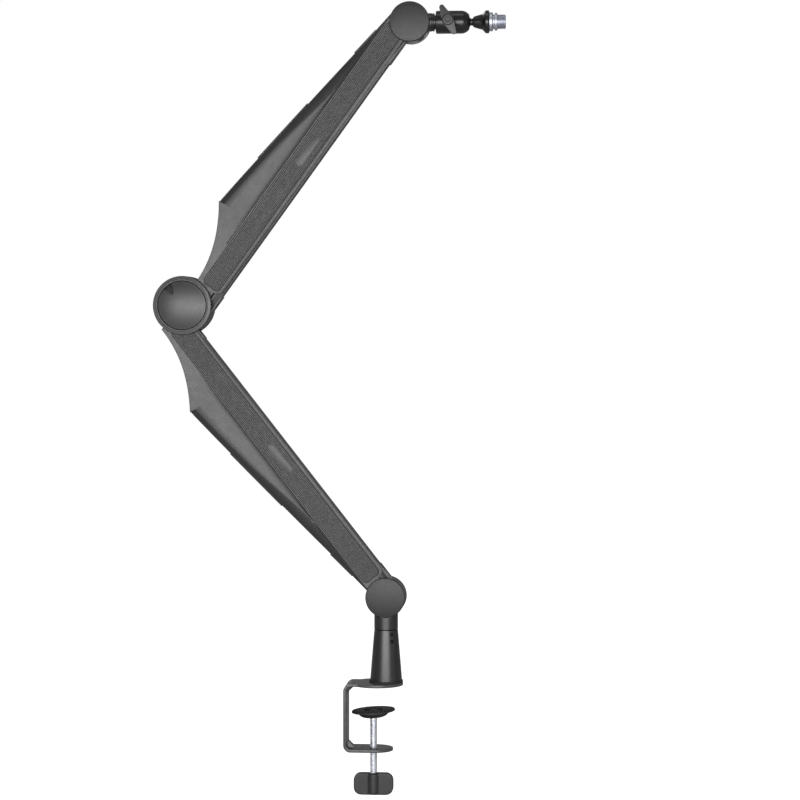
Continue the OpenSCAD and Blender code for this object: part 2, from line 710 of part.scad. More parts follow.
// Tension knob: a shallow dome with a finger notch, on a bolt through the elbow
module tension_knob() color("#787878") stand(elbow_c) difference() {
    rotate_extrude() polygon(concat([[0, tension_z], [tension_d / 2, tension_z],
        [tension_d / 2, knob_rim_z - knob_edge], [tension_d / 2 - knob_edge, knob_rim_z]],
        crown_points(tension_d / 2 - knob_edge, knob_rim_z, tension_crown)));
    rotate(notch_turn) layer(knob_rim_z - notch_depth, 2 * front_z)
        polygon([[notch_from, 0], [tension_d / 2 + 1, -notch_w / 2], [tension_d / 2 + 1, notch_w / 2]]);
}
module tension_bolt() color("silver") stand(elbow_c) translate([0, 0, -frame_z + 1])
    cylinder(d = pin_d, h = tension_z + frame_z - 1);

module upper_beam() color("#404040") on_upper(elbow_a2) beam();
module upper_side_panels() color("#585858") on_upper(elbow_a2) side_panels();
module upper_name_plates() color("#707070") on_upper(elbow_a2) name_plates();
module upper_fin() color("#606060") on_upper(elbow_a2) fin();
module upper_ridge_strips() color("#282828") on_upper(elbow_a2) ridge_strips();
module upper_springs() color("silver") on_upper(elbow_a2) springs();
module upper_spring_pins() color("gray") on_upper(elbow_a2) spring_pins();
module upper_link() color("#303030") on_upper(elbow_b2) link(run_fit, open_fit);

// Head
module head_block() intersection() {
    circle(d = cap_d - 2 * block_margin);
    translate([block_x - block_t, -cap_d]) square([block_t, 2 * cap_d]);
}
module head_frame() color("#202020") stand(head_c) difference() {
    union() {
        slab(2 * cap_z) head_block();
        slab(frame_t) {
            disc(head_pin_at[0], frame_r);
            disc(head_pin_at[1], link_boss_r);
            polygon([head_pin_at[0], head_pin_at[1], head_web[0], head_web[1]]);
            web(head_pin_at[0], head_pin_at[1], 2 * link_boss_r);
        }
    }
    pin_bores(head_pin_at);
    screw_bores(head_screw_at);
}
module head_pins() color("silver") stand(head_c) pin_set([head_pin_at[0]], [head_pin_at[1]]);
module head_front_cap() color("#484848") stand(head_c) domed_cap();
module head_back_cap() color("#484848") stand(head_c) back_cap(head_screw_at) domed_cap();
module head_screws() color("silver") stand(head_c) cap_screws(head_screw_at);
module neck_collar() color("#202020") union() {
    along_x(head_c[0] + block_x, axis_z) cylinder(d = neck_d, h = neck_reach - block_x);
    along_x(neck_end, axis_z) cylinder(d = neck_d - 4.4, h = barrel_x - neck_end);
    along_x(barrel_x, axis_z) cylinder(d = neck_pin_d, h = neck_pin_l);
}

// Ball head
module ball_barrel() color("#181818") along_x(barrel_x, axis_z) difference() {
    rotate_extrude() polygon(concat(
        [[0, 0], [barrel_d / 2 - 0.6, 0], [barrel_d / 2, 0.6], [barrel_d / 2, barrel_l]],
        [for (i = [1:dome_steps - 1]) let(a = 90 * i / dome_steps)
            [barrel_d / 2 * cos(a), barrel_l + dome_l * sin(a)]],
        [[0, barrel_l + dome_l]]));
    translate([0, 0, -eps]) cylinder(d = neck_pin_d, h = neck_pin_l + eps);
    translate([0, 0, ball_x - barrel_x]) {
        sphere(r = ball_r + side_play);
        intersection() {
            sphere(r = socket_r);
            translate([0, 0, -socket_r]) cylinder(r = socket_r, h = socket_r);
        }
        cylinder(r1 = swing_r, r2 = swing_end_r, h = swing_l);
    }
    translate([0, 0, wing_x]) rotate([0, 90, 90]) translate([0, 0, -barrel_d])
        cylinder(d = wing_shaft_d + 2 * run_fit, h = barrel_d + 4);
}
module wing_screw() color("#484848") stand([barrel_x + wing_x, axis_z]) {
    layer(wing_z, wing_z + wing_t) rotate(90 + wing_turn) {
        circle(d = wing_hub_d);
        for (s = [0, 180]) rotate(s) {
            web([0, 0], [wing_span / 2 - wing_tip_w / 2, 0], wing_tip_w);
            translate([wing_span / 2 - wing_tip_w / 2, 0]) circle(d = wing_tip_w);
            polygon([[0, -wing_hub_d / 2], [wing_span / 2 - wing_tip_w, -wing_tip_w / 2],
                [wing_span / 2 - wing_tip_w, wing_tip_w / 2], [0, wing_hub_d / 2]]);
        }
    }
    layer(wing_z - wing_neck_l, wing_z) circle(d = wing_neck_d);
    layer(-2, wing_z - wing_neck_l) circle(d = wing_shaft_d);
}
module ball_liner() color("#303030") along_x(ball_x, axis_z) difference() {
    sphere(r = liner_r);
    sphere(r = ball_r + run_fit);
    cylinder(r = liner_r + 1, h = liner_r + 1);
    translate([0, 0, -liner_r - 1]) cylinder(r = liner_r + 1, h = liner_r - 3);
}
module ball_stem() color("#181818") along_x(ball_x, axis_z) {
    sphere(r = ball_r);
    rotate_extrude() polygon([[0, 0], [neck_r, 0], [neck_r, ball_r + 1.4],
        [flare_r[0], stem_l - flare_back[0]], [flare_r[1], stem_l - flare_back[1]],
        [flange_d / 2, stem_l - flange_t],
        [flange_d / 2, stem_l], [stud_r, stem_l], [stud_r, stud_l], [0, stud_l]]);
}
module lock_ring() color("#d8d8e0") along_x(ring_x, axis_z) difference() {
    cylinder(d = ring_d, h = ring_t);
    translate([0, 0, -eps]) cylinder(r = stud_r + run_fit, h = ring_t + 1);
}
module mic_adapter() color("#d0d0d8") along_x(adapter_x, axis_z) difference() {
    union() {
        cylinder(d = thread_d, h = adapter_l);
        translate([0, 0, adapter_neck]) cylinder(d = adapter_flange_d, h = adapter_flange_t);
    }
    translate([0, 0, -eps]) cylinder(r = stud_r, h = adapter_l + 1);
    translate([0, 0, stud_seat]) cylinder(r = stud_r + 1, h = adapter_l);
}

clamp_bracket();
socket_lip();
desk_socket();
socket_bush();
socket_bolt();
grub_screws();
pad_plate();
pad_facing();
pad_retainer();
clamp_screw();
clamp_knob();
swivel_spigot();
base_collar();
base_frame();
base_pins();
base_front_cap();
base_back_cap();
base_screws();
lower_beam();
lower_side_panels();
lower_name_plates();
lower_fin();
lower_ridge_strips();
lower_springs();
lower_spring_pins();
lower_link();
elbow_frame();
elbow_pins();
elbow_bezel();
elbow_back_cap();
elbow_screws();
tension_knob();
tension_bolt();
upper_beam();
upper_side_panels();
upper_name_plates();
upper_fin();
upper_ridge_strips();
upper_springs();
upper_spring_pins();
upper_link();
head_frame();
head_pins();
head_front_cap();
head_back_cap();
head_screws();
neck_collar();
ball_barrel();
wing_screw();
ball_liner();
ball_stem();
lock_ring();
mic_adapter();
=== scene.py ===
import json
import math
import bpy
from mathutils import Matrix, Vector


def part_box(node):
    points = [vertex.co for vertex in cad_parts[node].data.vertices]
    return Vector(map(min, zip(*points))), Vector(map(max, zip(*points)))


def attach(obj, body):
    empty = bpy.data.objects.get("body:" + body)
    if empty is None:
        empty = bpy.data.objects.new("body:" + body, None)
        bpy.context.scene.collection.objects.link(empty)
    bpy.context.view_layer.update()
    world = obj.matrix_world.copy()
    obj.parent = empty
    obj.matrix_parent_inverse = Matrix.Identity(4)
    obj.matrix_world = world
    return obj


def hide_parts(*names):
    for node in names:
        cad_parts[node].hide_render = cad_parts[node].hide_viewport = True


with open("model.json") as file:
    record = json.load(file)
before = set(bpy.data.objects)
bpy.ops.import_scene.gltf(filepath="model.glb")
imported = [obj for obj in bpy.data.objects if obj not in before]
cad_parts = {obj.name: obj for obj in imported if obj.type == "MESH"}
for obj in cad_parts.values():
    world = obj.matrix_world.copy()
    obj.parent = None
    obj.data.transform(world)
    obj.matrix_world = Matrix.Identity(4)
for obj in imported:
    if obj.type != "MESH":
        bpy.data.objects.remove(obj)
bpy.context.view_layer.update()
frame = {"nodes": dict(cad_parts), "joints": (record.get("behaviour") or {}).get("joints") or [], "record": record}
milli = 0.001  # metres in a millimetre
weld = 1e-6    # metres, points closer than this are one point
nodes = frame["nodes"]
jointAt = {j["name"]: Vector(j["pos_m"]) / milli for j in frame["joints"] if "pos_m" in j}
print("frame loaded,", len(nodes), "solids")


# small tools; drawings are in millimetres, Blender's lengths in metres

def mm(*values):
    return tuple(v * milli for v in values)


def deselect():
    bpy.ops.object.select_all(action="DESELECT")


def pick(obj):
    deselect()
    obj.select_set(True)
    bpy.context.view_layer.objects.active = obj


def edit(obj, mode="VERT"):
    pick(obj)
    bpy.ops.object.mode_set(mode="EDIT")
    bpy.ops.mesh.select_mode(type=mode)
    bpy.ops.mesh.select_all(action="SELECT")


def leave():
    bpy.ops.object.mode_set(mode="OBJECT")


def selectEdges(obj, test):  # from edit mode: keeps only the edges whose two ends pass
    leave()
    verts = obj.data.vertices
    for part in (verts, obj.data.edges, obj.data.polygons):
        part.foreach_set("select", [False] * len(part))
    for line in obj.data.edges:
        a, b = (verts[i].co / milli for i in line.vertices)
        line.select = test(a, b)
    bpy.ops.object.mode_set(mode="EDIT")
    bpy.ops.mesh.select_mode(type="EDGE")


def bevelled(obj, radius, segments, test):  # rounds the edges whose two ends pass
    edit(obj, "EDGE")
    selectEdges(obj, test)
    bpy.ops.mesh.bevel(offset=radius * milli, segments=segments, profile=0.5)
    leave()
    return obj


def risesUp(a, b):  # the test for a block's upright edges
    return abs(a.z - b.z) > 0.1


def modify(obj, kind, **settings):
    pick(obj)
    bpy.ops.object.modifier_add(type=kind)
    mod = obj.modifiers[-1]
    for key, value in settings.items():
        setattr(mod, key, value)
    bpy.ops.object.modifier_apply(modifier=mod.name)


def soften(obj, width, segments, angle):
    modify(obj, "BEVEL", width=width * milli, segments=segments, limit_method="ANGLE",
           angle_limit=math.radians(angle), harden_normals=False)


def smooth(obj, angle):
    pick(obj)
    bpy.ops.object.shade_smooth_by_angle(angle=math.radians(angle))


def cut(obj, tool, how="DIFFERENCE"):
    modify(obj, "BOOLEAN", operation=how, solver="EXACT", object=tool)
    pick(tool)
    bpy.ops.object.delete()


def joined(objs):
    pick(objs[0])
    for obj in objs[1:]:
        obj.select_set(True)
    bpy.ops.object.join()
    return bpy.context.object


def block(name, low, high):
    deselect()
    low, high = Vector(low), Vector(high)
    bpy.ops.mesh.primitive_cube_add(size=milli, location=(low + high) * (milli / 2))
    obj = bpy.context.object
    obj.name = name
    obj.scale = high - low
    bpy.ops.object.transform_apply(location=True, rotation=True, scale=True)
    return obj


def arc(radius, height, size, start, end, count, tall=None):  # an outline's points on an arc
    turns = (math.radians(start + (end - start) * i / count) for i in range(count + 1))
    return [(radius + size * math.cos(a), height + (tall or size) * math.sin(a)) for a in turns]


def turned(name, outline, steps):  # spins an outline of (radius, height) points about Z
    deselect()
    bpy.ops.mesh.primitive_plane_add(size=milli, location=(0, 0, 0))
    obj = bpy.context.object
    obj.name = name
    edit(obj)
    bpy.ops.mesh.merge(type="CENTER")
    bpy.ops.transform.translate(value=mm(outline[0][0], 0, outline[0][1]))
    for (r0, h0), (r1, h1) in zip(outline, outline[1:]):
        bpy.ops.mesh.extrude_verts_indiv()
        bpy.ops.transform.translate(value=mm(r1 - r0, 0, h1 - h0))
    bpy.ops.mesh.select_all(action="SELECT")
    bpy.ops.mesh.spin(steps=steps, angle=2 * math.pi, center=(0, 0, 0), axis=(0, 0, 1))
    bpy.ops.mesh.select_all(action="SELECT")
    bpy.ops.mesh.remove_doubles(threshold=weld)
    bpy.ops.mesh.normals_make_consistent(inside=False)
    leave()
    return obj


def placed(obj, matrix):  # local millimetre drawing to its place in the frame
    move = Matrix.Translation(matrix.translation * milli) @ matrix.to_3x3().to_4x4()
    obj.data.transform(move)
    if matrix.determinant() < 0:
        obj.data.flip_normals()
    obj.data.update()
    return obj


def standing(pivot, angle=0, mirrored=False):  # drawing in XY stands up, its Z turns to the front
    a = math.radians(angle)
    side = -1 if mirrored else 1
    return Matrix(((math.cos(a), -math.sin(a) * side, 0, pivot[0]),
                   (0, 0, -1, 0),
                   (math.sin(a), math.cos(a) * side, 0, pivot[2]),
                   (0, 0, 0, 1)))


def alongX(x, z):  # a piece turned about Z lies along X
    return Matrix(((0, 0, 1, x), (0, 1, 0, 0), (-1, 0, 0, z), (0, 0, 0, 1)))


def upright(x, z):
    return Matrix.Translation((x, 0, z))


def copied(obj, name):
    pick(obj)
    bpy.ops.object.duplicate(linked=False)
    twin = bpy.context.object
    twin.name = name
    return twin


def fitted(obj, body, material, stands):  # a finished piece, its body, finish and CAD nodes
    obj.data.materials.clear()
    obj.data.materials.append(material)
    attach(obj, body)
    if stands:
        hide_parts(*stands)


# materials

def toLinear(colour):
    parts = [int(colour[i:i + 2], 16) / 255 for i in (1, 3, 5)]
    return (*(c / 12.92 if c <= 0.04045 else ((c + 0.055) / 1.055) ** 2.4 for c in parts), 1)


def addNode(mat, kind, settings=None, links=None):
    node = mat.node_tree.nodes.new(kind)
    for key, value in (settings or {}).items():
        if isinstance(key, int) or key in node.inputs:
            node.inputs[key].default_value = value
        else:
            setattr(node, key, value)
    for key, source in (links or {}).items():
        mat.node_tree.links.new(source, node.inputs[key])
    return node


def perMm(size):  # noise scale whose grains measure this many millimetres
    return 1 / (size * milli)


def finish(name, tones, rough, skin, metallic=0.0, settings=None):
    # tones: dark, light and the clouds' size; rough: low, high and the patches' size
    # skin: the grain's size, its depth and the bump's strength; all sizes in millimetres
    mat = bpy.data.materials.new(name)
    mat.use_nodes = True
    mat.node_tree.nodes.clear()
    spread = {"From Min": 0.3, "From Max": 0.7}  # where a noise's values mostly lie
    shader = addNode(mat, "ShaderNodeBsdfPrincipled", {"Metallic": metallic, **(settings or {})})
    addNode(mat, "ShaderNodeOutputMaterial", links={"Surface": shader.outputs[0]})
    spot = {"Vector": addNode(mat, "ShaderNodeTexCoord").outputs["Object"]}

    clouds = addNode(mat, "ShaderNodeTexNoise", {"Scale": perMm(tones[2]), "Detail": 3}, spot)
    ramp = addNode(mat, "ShaderNodeValToRGB", links={"Fac": clouds.outputs[0]})
    for end, where, tone in zip(ramp.color_ramp.elements, spread.values(), tones):
        end.position, end.color = where, toLinear(tone)
    mat.node_tree.links.new(ramp.outputs[0], shader.inputs["Base Color"])

    wear = addNode(mat, "ShaderNodeTexNoise", {"Scale": perMm(rough[2]), "Detail": 4}, spot)
    span = addNode(mat, "ShaderNodeMapRange", {**spread, "To Min": rough[0], "To Max": rough[1]},
                   {"Value": wear.outputs[0]})
    mat.node_tree.links.new(span.outputs[0], shader.inputs["Roughness"])

    grain = addNode(mat, "ShaderNodeTexNoise", {"Scale": perMm(skin[0]), "Detail": 2}, spot)
    bump = addNode(mat, "ShaderNodeBump", {"Strength": skin[2], "Distance": skin[1] * milli},
                   {"Height": grain.outputs[0]})
    mat.node_tree.links.new(bump.outputs[0], shader.inputs["Normal"])
    return mat


# ABS moulded in a spark-eroded tool: even dark grey with a fine satin skin
finAbs = finish("satin moulded ABS", ("#252526", "#29292A", 45), (0.35, 0.4, 6), (0.6, 0.01, 0.2))

# the panels' ribs: the same moulding, a touch lighter where hands have polished it
ribAbs = finish("ribbed ABS", ("#2E2E2F", "#333334", 30), (0.34, 0.42, 5), (0.5, 0.008, 0.2))

# the same ABS down in the grooves, rougher from the tool; its dark colour is painted shade for the grooves, and it
# also paints the dark outline round each plate
grooveShadeAbs = finish("rough ABS groove with painted shade", ("#0E0E0F", "#131314", 30), (0.58, 0.68, 5),
                   (0.5, 0.02, 0.3))

# smooth ABS insert with a slightly finer skin than the ribs beside it
plateAbs = finish("smooth ABS insert", ("#2B2B2C", "#303031", 25), (0.38, 0.43, 4),
                  (0.35, 0.01, 0.15))

# aluminium with a baked powder coat: shallow orange peel, softer shine on the edges
powderCoat = finish("powder coated aluminium", ("#29292A", "#2E2E2F", 35), (0.37, 0.45, 3),
                    (1.1, 0.012, 0.25))

# satin ABS caps, polished flatter than the fins
capAbs = finish("satin ABS cap", ("#1C1C1D", "#212122", 40), (0.4, 0.45, 5), (0.6, 0.01, 0.2),
                settings={"IOR": 1.44})

# the back covers: black ABS, made darker still as painted shade for their place behind the caps
backCoverShadeAbs = finish("black ABS cover with painted shade", ("#0F0F10", "#141415", 40), (0.45, 0.52, 5), (0.6, 0.01, 0.2))

# the elbow's domed knob and its ring, and the head's back cover: a lighter satin ABS
knobAbs = finish("satin ABS knob", ("#2E2E2F", "#333334", 30), (0.34, 0.38, 5), (0.45, 0.012, 0.2))

# black frames between the caps: sprayed steel, nearly without shine
frameBlack = finish("sprayed black steel", ("#0F0F10", "#151516", 15), (0.45, 0.58, 2),
                    (0.7, 0.015, 0.3))

# black anodised aluminium, turned before dyeing: deep black with sharp upright highlights
anodised = finish("black anodised aluminium", ("#0E0E0F", "#131314", 25), (0.35, 0.39, 3),
                  (0.3, 0.004, 0.08), settings={"IOR": 1.62})

# gloss black lacquer over die-cast zinc
lacquer = finish("gloss black lacquer", ("#0C0C0C", "#111112", 20), (0.25, 0.31, 4),
                 (1.6, 0.01, 0.2))

# the wing screw: die-cast, satin lacquer worn to grey
wingLacquer = finish("satin lacquer on die-cast zinc", ("#262627", "#2E2E2F", 6),
                     (0.38, 0.48, 2), (0.5, 0.03, 0.3))

# bent clamp steel under a dark powder coat
clampCoat = finish("powder coated clamp steel", ("#434344", "#4A4A4B", 22), (0.33, 0.42, 3),
                   (1.0, 0.012, 0.3))

# bright zinc plate: cool, streaky, its shine broken into patches
zinc = finish("bright zinc plate", ("#E4E6EC", "#F0F1F5", 4), (0.43, 0.51, 2.5),
              (0.25, 0.005, 0.2), metallic=1.0)

# the microphone thread and its ring: zinc handled often, duller and a touch bluer
threadZinc = finish("handled zinc plate", ("#AFB2BD", "#BFC2CB", 4), (0.42, 0.48, 3),
                    (0.25, 0.004, 0.1), metallic=1.0)

# spring wire: oiled, drawn steel
springSteel = finish("drawn spring steel", ("#8C8C8E", "#A2A2A4", 3), (0.25, 0.38, 1),
                     (0.3, 0.005, 0.2), metallic=1.0)

# moulded rubber: dead black, no clear highlight
rubber = finish("moulded rubber", ("#141414", "#1A1A1A", 8), (0.68, 0.82, 2), (0.6, 0.04, 0.4))

# acetal bush: milky and waxy
acetal = finish("natural acetal", ("#DAD9D2", "#E6E5DF", 10), (0.32, 0.4, 3), (0.4, 0.005, 0.2))

# glass-filled nylon knob: matte dark grey with a sandy skin
knobNylon = finish("glass-filled nylon", ("#1E1E1F", "#252526", 12), (0.44, 0.54, 1.5),
                   (0.4, 0.04, 0.4))
print("materials ready,", len(bpy.data.materials))


# camera at the photograph's place, and the plain stage

def aimed(place, target):
    return (Vector(target) - Vector(place)).to_track_quat("-Z", "Y").to_euler()


camera = {"place": (213.4, -2600, 398.2), "target": (15.4, 0, 315.7), "focalPx": 2364,
          "framePx": 800, "sensor": 36}
deselect()
bpy.ops.object.camera_add(location=mm(*camera["place"]))
eye = bpy.context.object
eye.rotation_euler = aimed(camera["place"], camera["target"])
eye.data.sensor_width = camera["sensor"]
eye.data.lens = camera["focalPx"] * camera["sensor"] / camera["framePx"]
bpy.context.scene.camera = eye
bpy.context.scene.view_settings.view_transform = "Standard"

lamps = {  # place, target, size, watts
    "frontBox": ((30, -2900, 420), (30, 0, 420), (3100, 1000), 84),
    "topBox": ((0, -500, 2600), (0, 0, 400), (1600, 900), 6),
    "rightBox": ((2300, -1100, 200), (0, 0, 200), (700, 1900), 3),
    "backBox": ((-1500, 2400, 2000), (0, 0, 400), (1400, 1400), 15),
}
for name, (place, target, size, watts) in lamps.items():
    deselect()
    bpy.ops.object.light_add(type="AREA", location=mm(*place))
    lamp = bpy.context.object
    lamp.name = name
    lamp.rotation_euler = aimed(place, target)
    lamp.data.shape = "RECTANGLE"
    lamp.data.size, lamp.data.size_y = mm(*size)
    lamp.data.energy = watts

# the floor lies low enough for the clamp's knob when the screw is let down
stage = {"floorAt": -153.5, "floorSize": 80000, "floorTone": 0.82, "floorGlow": 0.85,
         "fill": 0.2, "shine": 0.13}
white = (1, 1, 1, 1)
world = bpy.data.worlds.new("studio")
bpy.context.scene.world = world
world.use_nodes = True
world.node_tree.nodes.clear()
rays = addNode(world, "ShaderNodeLightPath").outputs
seen = addNode(world, "ShaderNodeMath", {"operation": "MAXIMUM"},
               {0: rays["Is Camera Ray"], 1: rays["Is Transmission Ray"]})
glossy = addNode(world, "ShaderNodeMath", {"operation": "MULTIPLY", 1: stage["shine"]},
                 {0: rays["Is Glossy Ray"]})
either = addNode(world, "ShaderNodeMath", {"operation": "MAXIMUM"},
                 {0: seen.outputs[0], 1: glossy.outputs[0]})
level = addNode(world, "ShaderNodeMapRange", {"To Min": stage["fill"], "To Max": 1.0},
                {"Value": either.outputs[0]})
sky = addNode(world, "ShaderNodeBackground", {"Color": white}, {"Strength": level.outputs[0]})
addNode(world, "ShaderNodeOutputWorld", links={"Surface": sky.outputs[0]})

deselect()
bpy.ops.mesh.primitive_plane_add(size=stage["floorSize"] * milli,
                                 location=mm(0, 0, stage["floorAt"]))
floor = bpy.context.object
floor.name = "studioFloor"
paper = bpy.data.materials.new("pale paper floor")
paper.use_nodes = True
paper.node_tree.nodes.clear()
coat = addNode(paper, "ShaderNodeBsdfDiffuse", {"Color": (*[stage["floorTone"]] * 3, 1)})
floorRays = addNode(paper, "ShaderNodeLightPath")
glowLevel = addNode(paper, "ShaderNodeMath", {"operation": "MULTIPLY", 1: stage["floorGlow"]},
                    {0: floorRays.outputs["Is Camera Ray"]})
glow = addNode(paper, "ShaderNodeEmission", {"Color": white}, {"Strength": glowLevel.outputs[0]})
both = addNode(paper, "ShaderNodeAddShader", links={0: coat.outputs[0], 1: glow.outputs[0]})
addNode(paper, "ShaderNodeOutputMaterial", links={"Surface": both.outputs[0]})
floor.data.materials.append(paper)
print("camera, lamps and floor ready")


# where things are, read from the frame

armLength = 379.5  # between an arm's two pivots
frontZ = 16.9      # half depth at the caps' faces
capBack = 11.7     # half depth where the caps start
beamZ = 11.1       # half depth of the beams' sides
elbowMiddle = jointAt["tension_knob_turn"]
baseMiddle = sum(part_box("base_front_cap"), Vector()) / (2 * milli)
headMiddle = sum(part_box("head_front_cap"), Vector()) / (2 * milli)


def armPlace(root, tip, mirrored=False):  # an arm's drawing runs along X from its elbow end
    start, end = jointAt[root], jointAt[tip]
    heading = math.degrees(math.atan2(end.z - start.z, end.x - start.x))
    return standing(start, heading, mirrored)


arms = {"upper": armPlace("upper_arm_tilt", "head_level"),
        "lower": armPlace("elbow_level", "lower_arm_tilt", True)}


# spring fins: a sheet drawn over the arm's curve, with a soft shoulder behind the peak

fin = {
    "start": 6, "peak": 96, "flat": 3.5, "tail": 3.5,   # along the arm, the tail from its far pivot
    "rootHeight": 2.4, "height": 34,                    # above the beam's edge
    "hollow": 2.1, "slope": 1.07,                       # powers of the two flanks' curves
    "edge": 11.9, "sunk": 1.5,                          # the beam's edge, and how far it reaches in
    "halfDepth": 9.5, "ridge": 3.2,                     # half the depth at the flanks and on top
    "sharp": 0.7, "shoulder": 7.5, "softBy": 1.5,       # edge before the peak, shoulder behind it
    "crease": 24,                                       # degrees the shoulder starts leaning
    "spread": 6, "spreadFrom": 170, "spreadOver": 110,  # the shoulder's growth towards the tail
    "flushTo": 55, "setBackOver": 75,                   # flush with the beam near the elbow
    "footDepth": 11.14, "footLow": 1.7, "lip": 9.9, "footIn": 0.5,
    "blend": ((1, 0.2), (0.5, 1.1), (0.18, 2.4), (0, 4.8)), "blendRoom": 6,  # share of lip, height
    "rootSteps": 36, "rootStep": 2.5, "peakSteps": (0, 0.75, 1.5, 3.5), "tailSteps": 44,
    "across": 42,
}


def eased(x, start, over):  # 0 up to start, 1 from start + over, smooth between
    t = min(1, max(0, (x - start) / over))
    return t * t * (3 - 2 * t)


def finHeight(x):
    end = armLength - fin["tail"]
    top = fin["peak"] + fin["flat"]
    if x <= fin["peak"]:
        t = max(0, x - fin["start"]) / (fin["peak"] - fin["start"])
        return fin["rootHeight"] + (fin["height"] - fin["rootHeight"]) * t ** fin["hollow"]
    if x <= top:
        return fin["height"]
    return fin["height"] * (1 - ((x - top) / (end - top)) ** fin["slope"])


def finShoulder(x, height):
    if x < fin["peak"]:
        return fin["sharp"]
    start = min(1, (x - fin["peak"]) / fin["softBy"])
    wanted = fin["shoulder"] + fin["spread"] * eased(x, fin["spreadFrom"], fin["spreadOver"])
    return min(fin["sharp"] + start * (wanted - fin["sharp"]), height + fin["sunk"] * 0.8)


def finSection(x):  # half depth and height of each point, front foot to back foot
    half = fin["across"] // 2
    height = finHeight(x)
    drop = finShoulder(x, height)
    room = max(0, height - drop)
    rise = min(1, room / fin["blendRoom"])
    lean = math.radians(fin["crease"]) if x > fin["peak"] else 0
    setBack = eased(x, fin["flushTo"], fin["setBackOver"])
    flank = fin["footDepth"] + (fin["halfDepth"] - fin["footDepth"]) * setBack
    lip = fin["footDepth"] + (fin["lip"] - fin["footDepth"]) * setBack
    inset = min(drop, flank - fin["ridge"])
    points = [(flank - fin["footIn"], -fin["footLow"]), (lip, -fin["footLow"])]
    points += [(flank + (lip - flank) * share, rise * up) for share, up in fin["blend"]]
    foot = points[-1][1]
    points += [(flank, foot + (room - foot) * i / 3) for i in (1, 2, 3)]
    steps = half - len(points) - 1
    for i in range(1, steps + 1):  # the shoulder, rounded or creased
        a = lean + (math.pi / 2 - lean) * i / steps
        points.append((flank - inset + inset * math.cos(a) / math.cos(lean), height - drop
                       + drop * (math.sin(a) - math.sin(lean)) / (1 - math.sin(lean))))
    points += [((flank - inset) / 2, height), (0, height)]
    return points + [(-z, y) for z, y in points[-2::-1]]


def springFin(name):
    end = armLength - fin["tail"] - 0.4
    top = fin["peak"] + fin["flat"]
    stations = [fin["start"] - 1.5]
    stations += [fin["start"] + fin["rootStep"] * i for i in range(fin["rootSteps"])]
    stations += [fin["peak"] + step for step in fin["peakSteps"]]
    stations += [top + (end - top) * (i + 1) / fin["tailSteps"] for i in range(fin["tailSteps"])]
    sections = [finSection(x) for x in stations]
    rows = len(stations) + 2  # the first and last row close the ends
    deselect()
    bpy.ops.mesh.primitive_grid_add(x_subdivisions=rows - 1, y_subdivisions=fin["across"], size=2)
    obj = bpy.context.object
    obj.name = name
    for vert in obj.data.vertices:
        i = round((vert.co.x + 1) / 2 * (rows - 1))
        j = round((vert.co.y + 1) / 2 * fin["across"])
        at = min(max(i - 1, 0), len(stations) - 1)
        z, y = sections[at][j]
        if i in (0, rows - 1):
            y = -fin["sunk"]
        vert.co = mm(stations[at], fin["edge"] + y, z)
    edit(obj, "EDGE")
    bpy.ops.mesh.select_all(action="DESELECT")
    bpy.ops.mesh.select_non_manifold()
    bpy.ops.mesh.edge_face_add()
    bpy.ops.mesh.select_all(action="SELECT")
    bpy.ops.mesh.normals_make_consistent(inside=False)
    leave()
    smooth(obj, 40)
    return obj


for arm, matrix in arms.items():
    piece = placed(springFin(arm + "FinShell"), matrix)
    fitted(piece, arm + "_arm", finAbs, [arm + "_fin"])
print("fins made")


# ribbed side panels with a blank plate in each

panel = {
    "from": 14, "low": -12.4, "high": 9.3, "corner": 4.4, "gap": 0.8,
    "ribs": 13, "pitch": 1.575, "rib": 1.05, "ribDepth": 1.1, "ribRound": 0.2,
    "bedInset": 0.2, "bedLow": 1.2, "bedTop": 0.75,  # the bed of the grooves, below the beam's side
    "plateAt": 198.5, "plateLength": 41, "plateWidth": 10, "plateRound": 0.35, "pocket": 0.6,
}
panelMiddle = (panel["low"] + panel["high"]) / 2


def slab(name, inset, low, high):  # a block with a panel's outline and round corners
    obj = block(name, (panel["from"] + inset, panel["low"] + inset, low),
                (armLength - panel["from"] - inset, panel["high"] - inset, high))
    return bevelled(obj, panel["corner"], 10, risesUp)


def pill(name, length, width, low, high):  # a block with round ends, where the plate lies
    obj = block(name, (-length / 2, -width / 2, low), (length / 2, width / 2, high))
    bevelled(obj, width / 2 - 0.01, 14, risesUp)
    obj.data.transform(Matrix.Translation(mm(panel["plateAt"], panelMiddle, 0)))
    return obj


def ribbedPanel(name):
    bed = slab(name + "Bed", panel["bedInset"], beamZ - panel["bedLow"], beamZ - panel["bedTop"])
    rib = block(name, (panel["from"] - 1, -panel["rib"] / 2, beamZ - panel["ribDepth"]),
                (armLength - panel["from"] + 1, panel["rib"] / 2, beamZ))
    bevelled(rib, panel["ribRound"], 2,
             lambda a, b: min(a.z, b.z) > beamZ - 0.1 and abs(a.x - b.x) > 1)
    modify(rib, "ARRAY", count=panel["ribs"], use_relative_offset=False, use_constant_offset=True,
           constant_offset_displace=mm(0, panel["pitch"], 0))
    first = panelMiddle - panel["pitch"] * (panel["ribs"] - 1) / 2
    rib.data.transform(Matrix.Translation(mm(0, first, 0)))
    cut(rib, slab("ends", panel["gap"], beamZ - 3, beamZ + 3), "INTERSECT")
    for piece in (bed, rib):
        cut(piece, pill("pocket", panel["plateLength"], panel["plateWidth"],
                        beamZ - panel["pocket"], beamZ + 3))
    smooth(rib, 30)
    return rib, bed


def blankPlate(name):
    obj = pill(name, panel["plateLength"] - 2 * panel["gap"],
               panel["plateWidth"] - 2 * panel["gap"], beamZ - panel["bedLow"], beamZ)
    soften(obj, panel["plateRound"], 3, 50)
    smooth(obj, 40)
    return obj


